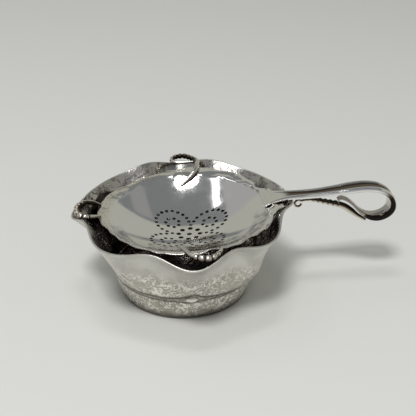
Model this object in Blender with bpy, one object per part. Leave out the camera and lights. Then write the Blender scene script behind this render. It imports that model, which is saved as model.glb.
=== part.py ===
"""A tea strainer resting in its lobed drip bowl, both raised from sheet silver.

The drip bowl is a lobed wall soldered on a shallow base cup, with a drop of metal at the
seam under its back and front lips. The strainer is a pierced dish with a grooved strap
handle that coils back under itself, a beaded tendril under the handle, and three rim
loops of plain and beaded wire.

Origin: the centre of the base cup's flat underside. +X runs along the handle, +Y to the
back and +Z up. Sizes are in millimetres until a mesh is made.
"""

import math

import bpy
from mathutils import Matrix, Vector
from mathutils.geometry import delaunay_2d_cdt

MM = 0.001
FULL_TURN = 2 * math.pi

# Drip bowl: wall
RIM_RADIUS = 46.8
RIM_HEIGHT = 37.6
RIM_WAVES = ((4, 0.7, -0.15), (8, 1.8, -1.6), (12, 0.27, -0.4))  # count, outward, upward
RIM_TILT = 0.5  # how much higher the rim stands at the handle's side
RIM_SADDLE = 0.2
OVAL_REACH = 2.3
OVAL_ANGLE = math.radians(72)
LIP_COUNT = 4
HANDLE_LIP_RISE = 3.2  # the lip under the handle is the shallowest
HANDLE_LIP_DRAW = 1.3
HANDLE_LIP_DRAW_ANGLE = math.radians(8)
HANDLE_LIP_WIDTH = math.radians(17)
LIP_TURN = math.radians(-2.7)  # from the handle's axis to the first lip
LIP_WANDER = math.radians(1.8)  # the lips are not quite a quarter turn apart
LIP_WANDER_ANGLE = math.radians(-37)
WALL_THICKNESS = 0.9
SEAM_RADIUS = 31.05
SEAM_HEIGHT = 11.6
BELLY_RADIUS = 36.5
BELLY_HEIGHT = 13.5
FLARE_REACH = 7.8  # from the throat of the flare out to the rim
FLARE_RISE = 10.0
LIP_FLARE_REACH = 3.0  # how much wider and lower the flare is under a lip
LIP_FLARE_DROP = 3.0
CUP_OVAL = 0.8  # how far the cup and the seam are out of round
WALL_SHIFTS = (0.0, 2.4, -1.0, -0.3)  # along X, of the four points that shape the wall
CREASE_DEPTH = 3.2  # of the soft folds that pull the belly in under the lips
CREASE_SHARPNESS = 5
WALL_SEGMENTS = 72
WALL_RINGS = 9

# Drip bowl: base cup, radius and height from the flat underside to the seam
CUP_PROFILE = ((14.0, 0.0), (26.7, 0.0), (27.7, 0.7), (28.7, 3.0), (30.2, 7.5), (31.05, 11.3))
CUP_SEGMENTS = 48

# Seam drops: half-length along the seam, half-width outward, half-height
DROP_LIPS = {"back": 1, "front": 3}  # counted round from the handle's lip
DROP_HALF_SIZE = (2.4, 1.1, 0.9)
DROP_RADIUS = 33.75
DROP_HEIGHT = 11.9
DROP_SEGMENTS = 12
DROP_RINGS = 6

# Strainer dish
DISH_CENTRE = Vector((1.3, -0.1, 37.7))
DISH_RADIUS = 37.4
DISH_WAVES = ((2, 0.8, -80), (3, 0.7, 60), (4, 1.0, -17.5))  # count, outward, degrees
DISH_TILT = (0.06, 0.013)  # rise for each millimetre of X and of Y
DISH_SHEET = 0.8
BASIN_RADIUS = 33.0
BASIN_DEPTH = 12.0
FRONT_WIDENING = 0.11  # the basin runs out almost to the edge at the front
WIDENING_START = -0.2  # of the way to the front, where the basin begins to widen
WIDENING_END = 0.9
FLANGE_RISE = 0.4
EDGE_SCALLOPS = 27
EDGE_SCALLOP_DEPTH = 0.25
EDGE_SEGMENTS = 4 * EDGE_SCALLOPS
TONGUE_REACH = 5.7  # of the flange's blunt tongue under the handle, between two notches
TONGUE_WIDTH = math.radians(13.3)
TONGUE_DIP = 0.1  # fall for each millimetre beyond the plain flange
NOTCH_DEPTH = 1.1
NOTCH_ANGLE = math.radians(23.5)
NOTCH_WIDTH = math.radians(4)
FRONT_NOTCH_DEPTH = 2.4  # of the bite out of the edge inside the front loop
FRONT_NOTCH_ANGLE = math.radians(-80)
FRONT_NOTCH_WIDTH = math.radians(4.5)
GUIDE_RINGS = ((20.5, 36), (24.0, 40), (27.5, 48), (31.0, 54), (33.0, 60))  # radius, points
GUIDE_STEP = 2.6  # of the points between the holes
GUIDE_CLEARANCE = 2.0  # from a hole's centre, in hole radii
PLAN_TOLERANCE = 1e-6

# Pierced flower: four petals, a centre and rays between the petals
FLOWER_CENTRE = Vector((0.7, -1.0))  # from the dish's centre
FLOWER_TURN = math.radians(33)
PETAL_COUNT = 4
PETAL_CENTRE = 11.4
PETAL_HALF_LENGTH = 7.6
PETAL_HALF_WIDTH = 7.0
PETAL_HOLES = 18  # in a whole ring, which is left open towards the centre
PETAL_OPENING = math.radians(130)
EYE_RADIUS = 3.0
EYE_HOLES = 7
CENTRE_RING_RADIUS = 4.6
CENTRE_RING_HOLES = 8
RAY_RADIUS = 7.3
HOLE_SIDES = 6
SMALL_HOLE = 0.68
LARGE_HOLE = 0.95

# Handle strap: X and Z of the middle line, with width, thickness and rail height there
STRAP_STATIONS = (
    (33.0, 40.0, 13.4, 0.7, 0.0),
    (35.5, 40.8, 12.0, 0.8, 0.0),
    (38.5, 41.2, 10.2, 1.0, 0.1),
    (42.0, 41.35, 8.5, 1.1, 0.2),
    (45.5, 41.3, 7.6, 1.2, 0.4),
    (50.0, 41.2, 7.2, 1.3, 0.5),
    (54.0, 41.3, 7.1, 1.3, 0.6),
    (58.5, 41.6, 7.4, 1.3, 0.6),
    (65.0, 42.3, 8.2, 1.3, 0.6),
    (71.5, 43.2, 9.0, 1.3, 0.6),
    (78.0, 43.6, 9.4, 1.3, 0.6),
    (83.5, 42.8, 9.4, 1.4, 0.6),
    (87.6, 40.6, 9.0, 1.6, 0.6),
    (90.0, 37.2, 8.2, 2.0, 0.6),
    (90.3, 33.6, 7.4, 2.6, 0.5),
    (88.4, 30.9, 6.8, 3.0, 0.4),
    (85.0, 29.4, 6.4, 3.0, 0.3),
    (81.4, 29.5, 6.0, 2.4, 0.1),
    (78.2, 31.0, 5.6, 1.6, 0.0),
    (75.5, 33.3, 5.2, 1.1, 0.0),
    (73.0, 35.9, 4.8, 0.9, 0.0),
    (70.6, 37.8, 4.2, 0.9, 0.0),
    (68.0, 38.8, 3.2, 0.9, 0.0),
    (66.2, 38.2, 2.4, 1.0, 0.0),
)
STRAP_STEPS = 3
STRAP_OUTLINE = (  # across the width from -1 to 1, and how much of the rail height is there
    (-1.0, 0.4),
    (-0.82, 1.0),
    (-0.5, 0.9),
    (-0.3, -0.3),
    (0.3, -0.3),
    (0.5, 0.9),
    (0.82, 1.0),
    (1.0, 0.4),
)

# Tendril under the handle: X, Y, Z and the radius there
TENDRIL_STEM = (
    (77.9, 0.0, 28.3, 0.7),
    (75.4, 0.0, 30.2, 1.15),
    (72.8, 0.0, 32.3, 1.75),
    (69.8, 0.0, 34.5, 1.65),
    (66.8, 0.0, 35.9, 1.35),
)
TENDRIL_BEAD_WIRE = (
    (66.1, 0.0, 36.0, 1.45),
    (61.2, 0.0, 37.3, 1.3),
    (57.0, 0.0, 38.3, 1.1),
    (53.8, 0.0, 38.8, 0.9),
    (51.6, 0.0, 38.7, 0.7),
)
TENDRIL_BEADS = 7
CURL_CENTRE = (49.2, 37.1)
CURL_RADIUS = 1.65
CURL_WIRE = 0.5
CURL_START = math.radians(40)
CURL_SWEEP = math.radians(310)
CURL_TIGHTENING = 0.2
CURL_STEPS = 16

# Rim loops: X, Y, Z and the radius there, of a plain stem and of the beaded wire it meets
LOOPS = {
    "left": {
        "stem": (
            (-35.8, 9.7, 37.3, 0.7),
            (-38.4, 9.9, 38.0, 0.9),
            (-40.9, 8.6, 38.7, 0.95),
        ),
        "bead_wire": (
            (-41.8, 7.9, 38.9, 1.3),
            (-44.5, 4.5, 39.0, 1.45),
            (-45.4, 1.2, 39.0, 1.45),
            (-45.2, -2.4, 39.0, 1.45),
            (-43.3, -5.4, 39.0, 1.35),
            (-40.1, -4.9, 38.6, 1.0),
            (-36.9, -0.4, 37.6, 0.5),
        ),
        "beads": 7,
        "bead_share": 0.7,
    },
    "front": {
        "stem": (
            (-5.3, -37.1, 38.6, 0.7),
            (-4.0, -39.6, 38.6, 0.95),
            (-2.6, -42.6, 38.4, 1.1),
        ),
        "bead_wire": (
            (-1.7, -43.7, 38.4, 1.5),
            (0.4, -45.3, 38.4, 1.6),
            (3.0, -46.3, 38.4, 1.65),
            (5.9, -45.6, 38.4, 1.6),
            (8.5, -42.5, 38.3, 1.4),
            (9.9, -39.2, 38.2, 0.8),
            (9.9, -38.1, 38.2, 0.6),
        ),
        "beads": 5,
        "bead_share": 0.72,
    },
    "back": {
        "stem": (
            (1.9, 28.0, 35.9, 0.55),
            (4.3, 29.5, 37.3, 0.75),
            (6.8, 30.8, 39.1, 0.95),
            (8.7, 32.9, 40.3, 1.1),
            (9.9, 36.9, 40.7, 1.2),
            (10.6, 42.0, 40.3, 1.2),
            (10.3, 45.7, 39.8, 1.15),
        ),
        "bead_wire": (
            (9.5, 47.4, 39.6, 1.2),
            (5.7, 51.2, 39.4, 1.3),
            (1.5, 50.4, 39.4, 1.2),
            (-0.3, 47.5, 39.4, 1.1),
            (0.6, 44.6, 39.4, 0.9),
            (4.8, 43.6, 39.5, 0.8),
            (7.6, 43.2, 39.6, 0.5),
        ),
        "beads": 7,
        "bead_share": 0.58,
    },
}
WIRE_SIDES = 8
STEM_STEPS = 4
RINGS_PER_BEAD = 4
PLAIN_RINGS = 8
BEAD_NECK = 0.55  # of the bead's radius
PATH_STEPS = 24  # of each span, when a path is measured

SATIN_SILVER = ("satin_silver", (0.62, 0.60, 0.55), 0.38)
POLISHED_SILVER = ("polished_silver", (0.80, 0.79, 0.76), 0.16)
DARKENED_SILVER = ("darkened_silver", (0.55, 0.52, 0.46), 0.25)


def clear_scene():
    for thing in list(bpy.data.objects):
        bpy.data.objects.remove(thing)


def make_material(name, colour, roughness):
    material = bpy.data.materials.new(name)
    material.use_nodes = True
    shader = material.node_tree.nodes["Principled BSDF"]
    shader.inputs["Base Color"].default_value = (*colour, 1.0)
    shader.inputs["Metallic"].default_value = 1.0
    shader.inputs["Roughness"].default_value = roughness
    return material


def make_mesh(name, points, faces):
    """A smooth-shaded mesh from points in millimetres."""
    mesh = bpy.data.meshes.new(name)
    mesh.from_pydata([Vector(point) * MM for point in points], [], faces)
    mesh.validate()
    mesh.shade_smooth()
    return mesh


def add_object(name, mesh, material, parent=None):
    piece = bpy.data.objects.new(name, mesh)
    bpy.context.collection.objects.link(piece)
    if not mesh.materials:
        mesh.materials.append(material)
    piece.parent = parent
    return piece


def skin(rings):
    """Points and faces of a surface through closed rings. A ring of one point is a pole."""
    points = [point for ring in rings for point in ring]
    faces = []
    start = 0
    for ring, following in zip(rings, rings[1:]):
        following_start = start + len(ring)
        sides = max(len(ring), len(following))
        for side in range(sides):
            corners = [
                start + side % len(ring),
                start + (side + 1) % len(ring),
                following_start + (side + 1) % len(following),
                following_start + side % len(following),
            ]
            faces.append(list(dict.fromkeys(corners)))
        start = following_start
    return points, faces


def smooth_stations(stations, steps):
    """Stations on a Catmull-Rom curve through the given ones, with steps in each span."""
    stations = [Vector(station) for station in stations]
    before = 2 * stations[0] - stations[1]
    after = 2 * stations[-1] - stations[-2]
    padded = [before, *stations, after]
    result = []
    for a, b, c, d in zip(padded, padded[1:], padded[2:], padded[3:]):
        for step in range(steps):
            t = step / steps
            slope = (c - a) + t * (2 * a - 5 * b + 4 * c - d) + t * t * (3 * b - a - 3 * c + d)
            result.append(b + slope * t / 2)
    result.append(stations[-1])
    return result


# ---------------------------------------------------------------- drip bowl


def bell(angle, width):
    """1 at angle 0, falling off smoothly on both sides."""
    return math.exp(-((math.remainder(angle, FULL_TURN) / width) ** 2))


def lip_phase(angle):
    """The angle from the first lip, in a wave that meets every lip at a quarter turn."""
    return angle - LIP_TURN - LIP_WANDER * math.cos(angle - LIP_WANDER_ANGLE)


def lip_angle(index):
    """The direction of one of the four lips, counted from the handle's side."""
    quarter = FULL_TURN * index / LIP_COUNT
    return quarter - lip_phase(quarter) + quarter


def rim_point(angle):
    """Radius and height of the wall's rim at an angle from the handle's axis."""
    radius = RIM_RADIUS + OVAL_REACH * math.cos(2 * (angle - OVAL_ANGLE))
    height = RIM_HEIGHT + RIM_TILT * math.cos(angle) + RIM_SADDLE * math.sin(2 * angle)
    for count, outward, upward in RIM_WAVES:
        wave = math.cos(count * lip_phase(angle))
        radius += outward * wave
        height += upward * wave
    radius -= HANDLE_LIP_DRAW * bell(angle - HANDLE_LIP_DRAW_ANGLE, HANDLE_LIP_WIDTH)
    height += HANDLE_LIP_RISE * bell(angle, HANDLE_LIP_WIDTH)
    return radius, height


def cup_oval(angle):
    """How much farther out than round the cup and the seam are at an angle."""
    return CUP_OVAL * math.cos(2 * (angle - OVAL_ANGLE))


def wall_point(angle, share):
    """A point on the wall's outer face, from the seam (share 0) up to the rim (share 1)."""
    rim_radius, rim_height = rim_point(angle)
    nearness = (1 + math.cos(LIP_COUNT * lip_phase(angle))) / 2
    belly_radius = BELLY_RADIUS - CREASE_DEPTH * nearness**CREASE_SHARPNESS
    rest = 1 - share
    weights = (rest**3, 3 * rest**2 * share, 3 * rest * share**2, share**3)
    oval = cup_oval(angle)
    throat_radius = rim_radius - FLARE_REACH - LIP_FLARE_REACH * nearness
    throat_height = rim_height - FLARE_RISE + LIP_FLARE_DROP * nearness
    radii = (SEAM_RADIUS + oval, belly_radius + oval, throat_radius, rim_radius)
    heights = (SEAM_HEIGHT, BELLY_HEIGHT, throat_height, rim_height)
    radius = sum(weight * value for weight, value in zip(weights, radii))
    height = sum(weight * value for weight, value in zip(weights, heights))
    shift = sum(weight * value for weight, value in zip(weights, WALL_SHIFTS))
    return (radius * math.cos(angle) + shift, radius * math.sin(angle), height)


def circle_angles(count):
    return [FULL_TURN * index / count for index in range(count)]


def add_sheet_wall(name, rings, material):
    """A sheet through rings on its outer face, with the wall's thickness inside it."""
    piece = add_object(name, make_mesh(name, *skin(rings)), material)
    solidify = piece.modifiers.new("sheet", "SOLIDIFY")
    solidify.thickness = WALL_THICKNESS * MM
    solidify.offset = -1
    solidify.use_even_offset = True
    return piece


def add_lobed_wall(material):
    shares = [ring / (WALL_RINGS - 1) for ring in range(WALL_RINGS)]
    angles = circle_angles(WALL_SEGMENTS)
    rings = [[wall_point(angle, share) for angle in angles] for share in shares]
    add_sheet_wall("lobed_wall", rings, material)


def add_base_cup(material):
    angles = circle_angles(CUP_SEGMENTS)
    rings = [[(0, 0, 0)]]
    for radius, height in CUP_PROFILE:
        ring = []
        for angle in angles:
            reach = radius * (1 + cup_oval(angle) / SEAM_RADIUS)
            ring.append((reach * math.cos(angle), reach * math.sin(angle), height))
        rings.append(ring)
    add_sheet_wall("base_cup", rings, material)


def add_seam_drops(material):
    """One drop of metal on the seam under the back and front lips, sharing one mesh."""
    length, width, height = DROP_HALF_SIZE
    rings = [[(0, 0, -height)]]
    for level in range(1, DROP_RINGS):
        tilt = math.pi * level / DROP_RINGS
        spread = math.sin(tilt)
        level_height = -height * math.cos(tilt)
        outline = []
        for angle in circle_angles(DROP_SEGMENTS):
            x = width * spread * math.cos(angle)
            y = length * spread * math.sin(angle)
            outline.append((x, y, level_height))
        rings.append(outline)
    rings.append([(0, 0, height)])
    mesh = make_mesh("seam_drop", *skin(rings))
    for side, lip in DROP_LIPS.items():
        angle = lip_angle(lip)
        drop = add_object(f"{side}_seam_drop", mesh, material)
        drop.location = Vector((math.cos(angle), math.sin(angle), 0)) * DROP_RADIUS * MM
        drop.location.z = DROP_HEIGHT * MM
        drop.rotation_euler.z = angle


# ------------------------------------------------------------ strainer dish


def dish_height(radius):
    """Height of the dish's upper face above the basin's edge, before the tilt."""
    if radius < BASIN_RADIUS:
        return BASIN_DEPTH * ((radius / BASIN_RADIUS) ** 2 - 1)
    flange = min(radius, DISH_RADIUS) - BASIN_RADIUS
    rise = FLANGE_RISE * flange / (DISH_RADIUS - BASIN_RADIUS)
    return rise - TONGUE_DIP * max(radius - DISH_RADIUS, 0)


def dish_slope(radius):
    return 2 * BASIN_DEPTH * radius / BASIN_RADIUS**2 if radius < BASIN_RADIUS else 0.0


def basin_radius(x, y):
    """Distance from the dish's centre, as if the basin were as wide at the front as elsewhere."""
    radius = math.hypot(x, y)
    forward = -y / radius if radius else 0.0  # -1 at the back and 1 at the front
    share = (forward - WIDENING_START) / (WIDENING_END - WIDENING_START)
    share = min(max(share, 0.0), 1.0)
    return radius / (1 + FRONT_WIDENING * share * share * (3 - 2 * share))


def dish_point(x, y, underside=False):
    """A point of the dish above a place in plan, measured from the dish's centre."""
    radius = basin_radius(x, y)
    height = dish_height(radius) + DISH_TILT[0] * x + DISH_TILT[1] * y
    if underside:
        height -= DISH_SHEET * math.hypot(1, dish_slope(radius))
    return DISH_CENTRE + Vector((x, y, height))


def hole_centres():
    """Plan places and radii of the pierced flower's holes."""
    holes = []

    def ring(count, radius, centre, hole_radius, turn, stretch=1.0, opening=FULL_TURN):
        for angle in circle_angles(count):
            if abs(math.remainder(angle, FULL_TURN)) > opening:
                continue
            local = Vector((radius * stretch * math.cos(angle), radius * math.sin(angle)))
            local.rotate(Matrix.Rotation(turn, 2))
            holes.append((FLOWER_CENTRE + centre + local, hole_radius))

    for index in range(PETAL_COUNT):
        turn = FLOWER_TURN + FULL_TURN * index / PETAL_COUNT
        outward = Vector((math.cos(turn), math.sin(turn)))
        centre = PETAL_CENTRE * outward
        stretch = PETAL_HALF_LENGTH / PETAL_HALF_WIDTH
        ring(PETAL_HOLES, PETAL_HALF_WIDTH, centre, SMALL_HOLE, turn, stretch, PETAL_OPENING)
        ring(EYE_HOLES, EYE_RADIUS, centre, SMALL_HOLE, turn)
        between = turn + FULL_TURN / PETAL_COUNT / 2
        along = Vector((math.cos(between), math.sin(between)))
        holes.append((FLOWER_CENTRE + RAY_RADIUS * along, SMALL_HOLE))
    ring(CENTRE_RING_HOLES, CENTRE_RING_RADIUS, Vector((0, 0)), LARGE_HOLE, FLOWER_TURN)
    holes.append((FLOWER_CENTRE, LARGE_HOLE))
    return holes


def polygon(centre, radius, sides):
    return [centre + radius * Vector((math.cos(a), math.sin(a))) for a in circle_angles(sides)]


def dish_outline():
    """The scalloped edge in plan, with the tongue and its notches at the handle's side."""
    outline = []
    for angle in circle_angles(EDGE_SEGMENTS):
        radius = DISH_RADIUS + EDGE_SCALLOP_DEPTH * math.sin(EDGE_SCALLOPS * angle)
        for count, outward, degrees in DISH_WAVES:
            radius += outward * math.cos(count * (angle - math.radians(degrees)))
        turn = math.remainder(angle, FULL_TURN) / TONGUE_WIDTH
        radius += TONGUE_REACH * math.exp(-(turn**4))
        for side in (-1, 1):
            radius -= NOTCH_DEPTH * bell(angle - side * NOTCH_ANGLE, NOTCH_WIDTH)
        radius -= FRONT_NOTCH_DEPTH * bell(angle - FRONT_NOTCH_ANGLE, FRONT_NOTCH_WIDTH)
        outline.append(radius * Vector((math.cos(angle), math.sin(angle))))
    return outline


def pierced_plan():
    """Plan points and triangles of the dish, with its holes left open."""
    holes = hole_centres()
    loops = [dish_outline()]
    loops += [polygon(centre, radius, HOLE_SIDES) for centre, radius in holes]
    points = []
    faces = []
    for loop in loops:
        faces.append(list(range(len(points), len(points) + len(loop))))
        points += loop
    guides = [point for ring in GUIDE_RINGS for point in polygon(Vector((0, 0)), *ring)]
    reach = int(GUIDE_RINGS[0][0] / GUIDE_STEP)
    for column in range(-reach, reach + 1):
        for row in range(-reach, reach + 1):
            point = GUIDE_STEP * Vector((column, row))
            if point.length < GUIDE_RINGS[0][0] - GUIDE_STEP / 2:
                guides.append(point)
    for point in guides:
        if all((point - centre).length > GUIDE_CLEARANCE * size for centre, size in holes):
            points.append(point)
    plan = delaunay_2d_cdt(points, [], faces, 0, PLAN_TOLERANCE, True)
    points, _, triangles, _, _, owners = plan
    solid = [tri for tri, owner in zip(triangles, owners) if list(owner) == [0]]
    return points, solid


def add_strainer_dish(material, parent):
    plan, triangles = pierced_plan()
    count = len(plan)
    points = [dish_point(x, y) for x, y in plan]
    points += [dish_point(x, y, underside=True) for x, y in plan]
    faces = [list(triangle) for triangle in triangles]
    faces += [[corner + count for corner in reversed(triangle)] for triangle in triangles]
    directed = {(tri[i], tri[(i + 1) % 3]) for tri in triangles for i in range(3)}
    for start, end in sorted(directed):
        if (end, start) not in directed:
            faces.append([end, start, start + count, end + count])
    add_object("strainer_dish", make_mesh("strainer_dish", points, faces), material, parent)


# ------------------------------------------------------------- handle strap


def strap_ring(station, direction):
    """The strap's section at a station: grooved outer face, then the plain inner face."""
    x, z, width, thickness, rail = station
    outward = Vector((-direction.z, 0, direction.x))
    centre = Vector((x, 0, z))
    ring = []
    for share, rise in STRAP_OUTLINE:
        height = thickness / 2 + rail * rise
        ring.append(centre + Vector((0, share * width / 2, 0)) + outward * height)
    for share in (1, -1):
        ring.append(centre + Vector((0, share * width / 2, 0)) - outward * thickness / 2)
    return ring


def add_handle_strap(material, parent):
    stations = smooth_stations(STRAP_STATIONS, STRAP_STEPS)
    centres = [Vector((station[0], 0, station[1])) for station in stations]
    rings = [[centres[0]]]
    for index, station in enumerate(stations):
        ahead = centres[min(index + 1, len(centres) - 1)]
        behind = centres[max(index - 1, 0)]
        rings.append(strap_ring(station, (ahead - behind).normalized()))
    rings.append([centres[-1]])
    rings = [list(reversed(ring)) for ring in rings]
    add_object("handle_strap", make_mesh("handle_strap", *skin(rings)), material, parent)


# ------------------------------------------------------------ wire and beads


def tube_rings(stations, across):
    """Round rings along stations of X, Y, Z and radius, between two poles."""
    centres = [Vector(station[:3]) for station in stations]
    rings = [[centres[0]]]
    for index, centre in enumerate(centres):
        ahead = centres[min(index + 1, len(centres) - 1)]
        behind = centres[max(index - 1, 0)]
        direction = (ahead - behind).normalized()
        side = (across - across.project(direction)).normalized()
        up = direction.cross(side)
        radius = stations[index][3]
        ring = []
        for angle in circle_angles(WIRE_SIDES):
            ring.append(centre + radius * (math.cos(angle) * side + math.sin(angle) * up))
        rings.append(ring)
    rings.append([centres[-1]])
    return rings


def add_tube(name, stations, across, material, parent):
    mesh = make_mesh(name, *skin(tube_rings(stations, across)))
    return add_object(name, mesh, material, parent)


def at_shares(stations, shares):
    """Stations at shares of the length of the smooth curve through the given ones."""
    path = smooth_stations(stations, PATH_STEPS)
    lengths = [0.0]
    for start, end in zip(path, path[1:]):
        lengths.append(lengths[-1] + (Vector(end[:3]) - Vector(start[:3])).length)
    result = []
    span = 1
    for share in shares:
        target = share * lengths[-1]
        while span < len(path) - 1 and lengths[span] < target:
            span += 1
        part = (target - lengths[span - 1]) / (lengths[span] - lengths[span - 1])
        result.append(path[span - 1].lerp(path[span], part))
    return result


def bead_stations(stations, beads, bead_share):
    """Stations of a wire whose first share is drawn into beads and whose rest is plain."""
    rings = beads * RINGS_PER_BEAD
    shares = [bead_share * ring / rings for ring in range(rings + 1)]
    if bead_share < 1:
        for ring in range(1, PLAIN_RINGS + 1):
            shares.append(bead_share + (1 - bead_share) * ring / PLAIN_RINGS)
    result = at_shares(stations, shares)
    for ring in range(rings + 1):
        swell = math.sin(math.pi * (ring % RINGS_PER_BEAD) / RINGS_PER_BEAD)
        result[ring][3] *= BEAD_NECK + (1 - BEAD_NECK) * swell
    return result


def add_tendril(material, parent):
    """The bud stem under the handle, its row of shrinking beads and the curl at its end."""
    across = Vector((0, 1, 0))
    stem = smooth_stations(TENDRIL_STEM, STEM_STEPS)
    add_tube("tendril_stem", stem, across, material, parent)
    beads = bead_stations(TENDRIL_BEAD_WIRE, TENDRIL_BEADS, 1)
    add_tube("tendril_bead_wire", beads, across, material, parent)
    curl = []
    for step in range(CURL_STEPS + 1):
        share = step / CURL_STEPS
        angle = CURL_START + CURL_SWEEP * share
        radius = CURL_RADIUS * (1 - CURL_TIGHTENING * share)
        x = CURL_CENTRE[0] + radius * math.cos(angle)
        z = CURL_CENTRE[1] + radius * math.sin(angle)
        curl.append(Vector((x, 0, z, CURL_WIRE)))
    add_tube("tendril_curl", curl, across, material, parent)


def add_rim_loop(side, loop, material, parent):
    across = Vector((0, 0, 1))
    stem = smooth_stations(loop["stem"], STEM_STEPS)
    add_tube(f"{side}_loop_stem", stem, across, material, parent)
    beads = bead_stations(loop["bead_wire"], loop["beads"], loop["bead_share"])
    add_tube(f"{side}_loop_bead_wire", beads, across, material, parent)


def build():
    clear_scene()
    satin = make_material(*SATIN_SILVER)
    polished = make_material(*POLISHED_SILVER)
    darkened = make_material(*DARKENED_SILVER)
    add_base_cup(satin)
    add_lobed_wall(satin)
    add_seam_drops(polished)
    lift = bpy.data.objects.new("strainer_lift_axis", None)
    bpy.context.collection.objects.link(lift)
    add_strainer_dish(polished, lift)
    add_handle_strap(polished, lift)
    add_tendril(darkened, lift)
    for side, loop in LOOPS.items():
        add_rim_loop(side, loop, polished, lift)


build()
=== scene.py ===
"""A silver tea strainer resting in its lobed drip bowl, on a pale studio floor.

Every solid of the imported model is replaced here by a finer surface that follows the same
curves, so that soldered pieces meet. Sizes are in millimetres until a mesh is made. +X runs
along the handle, +Y to the back and +Z up.
"""

import math

import bpy
from mathutils import Matrix, Vector, noise
from mathutils.geometry import delaunay_2d_cdt


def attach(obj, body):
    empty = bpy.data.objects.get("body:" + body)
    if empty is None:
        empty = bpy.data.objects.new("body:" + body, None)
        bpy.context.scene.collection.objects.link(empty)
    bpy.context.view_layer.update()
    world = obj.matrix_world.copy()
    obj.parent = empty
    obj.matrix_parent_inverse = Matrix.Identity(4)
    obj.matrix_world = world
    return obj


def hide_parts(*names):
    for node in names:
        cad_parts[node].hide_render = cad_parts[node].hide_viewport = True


MM = 0.001
FULL_TURN = 2 * math.pi

# Drip bowl: wall
RIM_RADIUS = 46.8
RIM_HEIGHT = 37.6
RIM_WAVES = ((4, 0.7, -0.15), (8, 1.8, -1.6), (12, 0.27, -0.4))
RIM_TILT = 0.5
RIM_SADDLE = 0.2
OVAL_REACH = 2.3
OVAL_ANGLE = math.radians(72)
LIP_COUNT = 4
HANDLE_LIP_RISE = 3.2
HANDLE_LIP_DRAW = 1.3
HANDLE_LIP_DRAW_ANGLE = math.radians(8)
HANDLE_LIP_WIDTH = math.radians(17)
LIP_TURN = math.radians(-2.7)
LIP_WANDER = math.radians(1.8)
LIP_WANDER_ANGLE = math.radians(-37)
WALL_THICKNESS = 0.9
SEAM_RADIUS = 31.05
SEAM_HEIGHT = 11.6
BELLY_RADIUS = 36.5
BELLY_HEIGHT = 13.5
CUP_OVAL = 0.8  # how far the cup and the seam are out of round
WALL_SHIFTS = (0.0, 2.4, -1.0, -0.3)  # along X, of the four points that shape the wall
FLARE_REACH = 7.8
FLARE_RISE = 10.0
LIP_FLARE_REACH = 3.0  # how much wider and lower the flare is under a lip
LIP_FLARE_DROP = 3.0
CREASE_DEPTH = 3.2
CREASE_SHARPNESS = 5
BAND_SHARE = 0.82  # where the bright band inside the rim starts
# Below the dish the inside darkens towards black: oxide with painted shade
DEEP_TARNISH_AND_SHADE = 0.2  # of the inside below the dish, towards black
DEEP_SHARES = (0.15, 0.5)
# Painted shade and dark reflection in the bright band inside the rim, at three lips
DARK_LIPS = ((0, 0.6, 0.16), (2, 0.7, 0.35), (3, 0.7, 0.6))  # lip, how dark and how wide
# On the left behind the dish the band is narrowed and the wall below it painted black as shadow
BAND_NARROWING = 0.1  # behind the dish on the left, where the wall below is black
NARROW_BAND_ANGLE = math.radians(148)
NARROW_BAND_WIDTH = math.radians(22)
WALL_SEGMENTS = 360
WALL_RINGS = 56
EDGE_STEPS = 6

# Drip bowl: base cup
CUP_PROFILE = (
    (0.0, 0.0),
    (8.0, 0.0),
    (16.0, 0.0),
    (23.0, 0.0),
    (26.2, 0.0),
    (27.3, 0.35),
    (28.0, 1.1),
    (28.7, 3.0),
    (29.4, 5.2),
    (30.2, 7.5),
    (30.75, 9.6),
    (31.05, 11.6),
)
CUP_STEPS = 5

# Seam ridge and the drops on it
RIDGE_HEIGHT = 11.7
RIDGE_PROUD = 0.5
RIDGE_HALF_WIDTH = 0.8
RIDGE_CREASES = (10.5, 12.9)
RIDGE_LIFT = 2.6  # how far the upper crease rises over a drop
RIDGE_LIFT_WIDTH = 2.6
DROP_LIPS = {"back": 1, "front": 3}
DROP_HALF_SIZE = (2.4, 1.35, 1.15)
DROP_RADIUS = 33.0
DROP_HEIGHT = 12.4
DROP_LEVELS = 16
DROP_SIDES = 32

# Strainer dish
DISH_CENTRE = Vector((1.3, -0.1, 37.7))
DISH_RADIUS = 37.4
DISH_WAVES = ((2, 0.8, -80), (3, 0.7, 60), (4, 1.0, -17.5))
DISH_TILT = (0.06, 0.013)
DISH_SHEET = 0.8
BASIN_RADIUS = 33.0
BASIN_DEPTH = 12.0
FRONT_WIDENING = 0.11  # the basin runs out almost to the edge at the front
FLANGE_RISE = 0.4
FLANGE_RIPPLE = 2.4  # size of the flange's hammered streaks, outward
FLANGE_STREAKS = 5.0  # and how many there are in a radian
FLANGE_STREAK_DEPTH = 0.5
ROUGH_SIDE = math.radians(165)  # where the flange is most roughened
EDGE_SCALLOPS = 27
EDGE_SCALLOP_DEPTH = 0.25
TONGUE_REACH = 5.7  # of the flange's blunt tongue under the handle, between two notches
TONGUE_WIDTH = math.radians(13.3)
TONGUE_DIP = 0.1
NOTCH_DEPTH = 1.1
NOTCH_ANGLE = math.radians(23.5)
NOTCH_WIDTH = math.radians(4)
FRONT_NOTCH_DEPTH = 2.4  # of the bite out of the edge inside the front loop
FRONT_NOTCH_ANGLE = math.radians(-80)
FRONT_NOTCH_WIDTH = math.radians(4.5)
PIERCED_RADIUS = 23.0
DISH_SEGMENTS = 324
DISH_RINGS = 22
PLAN_STEP = 1.5
PLAN_TOLERANCE = 1e-6

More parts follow.
